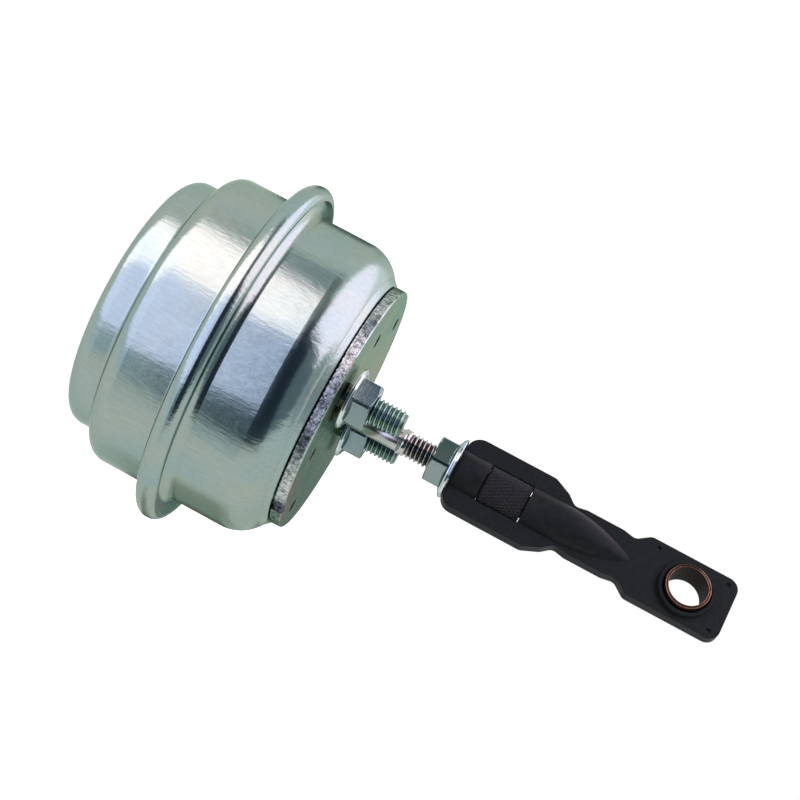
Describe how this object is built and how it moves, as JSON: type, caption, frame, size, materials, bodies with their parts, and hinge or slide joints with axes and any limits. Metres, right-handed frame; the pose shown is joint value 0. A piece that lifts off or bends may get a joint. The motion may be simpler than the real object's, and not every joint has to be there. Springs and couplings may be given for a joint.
{
  "type": "vacuum boost actuator",
  "caption": "Diaphragm actuator for a turbocharger's boost control: a crimped round can with a mounting disc and studs, and a sliding rod that carries an adjustable flat link with a bushed eye.",
  "frame": {"origin": "centre of the mounting plate's front face, on the rod's axis", "axes": "+Z along the rod from the can towards the eye of the link; the flat sides of the link face -Y and +Y; the hose nipple points along +Y"},
  "size_m": [0.0798, 0.0889, 0.1428],
  "materials": {
    "zinc_plated_steel": "bright zinc plating with a faint blue-green sheen",
    "zinc_plated_plate": "zinc plating, slightly duller and greener",
    "zinc_plated_fastener": "blue zinc plating",
    "bright_steel": "plain bright steel",
    "spring_steel": "oiled spring wire",
    "black_coated_steel": "satin black coating",
    "bronze": "bronze, dulled",
    "black_rubber": "matt",
    "dark_plastic": "matt"
  },
  "bodies": {
    "can": {"rear_cover": "zinc_plated_steel", "front_cup": "zinc_plated_steel", "mounting_plate": "zinc_plated_plate", "mounting_studs": "zinc_plated_fastener", "stud_flange_nuts": "zinc_plated_fastener", "vacuum_nipple": "zinc_plated_steel", "diaphragm": "black_rubber", "spring_seat": "bright_steel", "return_spring": "spring_steel", "guide_bush": "dark_plastic", "rod_wiper": "black_rubber", "guide_housing": "bright_steel"},
    "rod": {"actuator_rod": "bright_steel", "piston": "bright_steel", "diaphragm_plate": "bright_steel", "rivet_washer": "bright_steel"},
    "link": {"link_plate_front": "black_coated_steel", "link_plate_rear": "black_coated_steel", "eye_bush": "bronze"},
    "sleeve": {"adjuster_sleeve": "black_coated_steel"},
    "lock_nut": {"rod_lock_nut": "zinc_plated_fastener"}
  },
  "joints": [
    {"name": "rod_stroke", "type": "slide", "parent": "can", "child": "rod", "axis": [0, 0, 1], "range_m": [-0.012, 0], "stiffness_N_per_m": 3500, "springref_m": 0.013, "deforming": ["diaphragm", "return_spring"]},
    {"name": "link_adjust", "type": "slide", "parent": "rod", "child": "link", "axis": [0, 0, 1], "range_m": [-0.003, 0.003]},
    {"name": "sleeve_spin", "type": "hinge", "parent": "link", "child": "sleeve", "pos_m": [0, 0, 0.0383], "axis": [0, 0, 1], "range_deg": [-1085, 1085]},
    {"name": "lock_nut_spin", "type": "hinge", "parent": "link", "child": "lock_nut", "pos_m": [0, 0, 0.0236], "axis": [0, 0, 1], "range_deg": [-1085, 1085]}
  ],
  "couplings": [
    {"joint": "sleeve_spin", "follows": "link_adjust", "rad_per_m": 6283.2},
    {"joint": "lock_nut_spin", "follows": "link_adjust", "rad_per_m": 6283.2}
  ]
}
